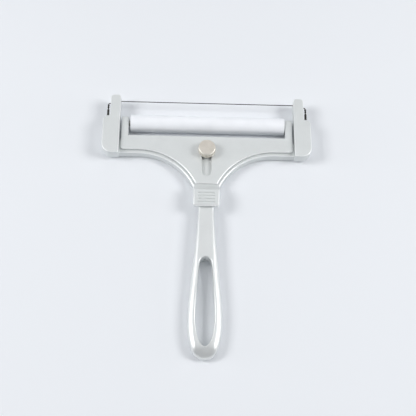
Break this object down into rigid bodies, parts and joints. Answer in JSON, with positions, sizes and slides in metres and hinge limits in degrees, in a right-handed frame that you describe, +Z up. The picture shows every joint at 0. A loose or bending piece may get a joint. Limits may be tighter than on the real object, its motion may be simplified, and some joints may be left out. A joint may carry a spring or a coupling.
{
  "type": "cheese wire cutter",
  "caption": "Hand-held cheese wire cutter: taut wire between two arms, adjustable roller on a sliding carrier held by a thumb screw, looped grip.",
  "frame": {"origin": "centre of the object's outline on the surface it lies on, its back down", "axes": "+X to the right arm, +Y from the grip to the wire, +Z up out of the face with the thumb screw"},
  "size_m": [0.155, 0.1986, 0.0167],
  "materials": {
    "cast_metal": "satin bead-blasted die casting",
    "grip_metal": "smooth satin die casting",
    "white_plastic": "smooth, slightly glossy",
    "bush_plastic": "moulded",
    "steel": "drawn, bare",
    "wire_steel": "drawn stainless wire",
    "nickel": "nickel plate, warm, slightly worn"
  },
  "bodies": {
    "body": {"frame": "cast_metal", "handle": "grip_metal", "handle_pin": "steel", "captive_nut": "steel", "cutting_wire": "wire_steel", "wire_sleeve_left": "wire_steel", "wire_sleeve_right": "wire_steel", "wire_anchor_left": "steel", "wire_anchor_right": "steel"},
    "carrier": {"roller_carrier": "cast_metal", "roller_axle": "steel"},
    "roller": {"roller": "white_plastic", "roller_bush_left": "bush_plastic", "roller_bush_right": "bush_plastic"},
    "clamp": {"clamp_washer": "nickel"},
    "thumbscrew": {"thumb_knob": "nickel", "screw_stud": "steel"}
  },
  "joints": [
    {"name": "carrier_slide", "type": "slide", "parent": "body", "child": "carrier", "axis": [0, 1, 0], "range_m": [0, 0.0095]},
    {"name": "roller_spin", "type": "hinge", "parent": "carrier", "child": "roller", "pos_m": [0, 0.0785, 0.0068], "axis": [1, 0, 0], "continuous": true},
    {"name": "thumbscrew_lift", "type": "slide", "parent": "body", "child": "clamp", "axis": [0, 0, 1], "range_m": [0, 0.0012]},
    {"name": "thumbscrew_turn", "type": "hinge", "parent": "clamp", "child": "thumbscrew", "pos_m": [0, 0.055, 0.01], "axis": [0, 0, 1], "range_deg": [0, 540]}
  ],
  "couplings": [
    {"joint": "thumbscrew_lift", "follows": "thumbscrew_turn", "m_per_rad": 0.00012732}
  ]
}
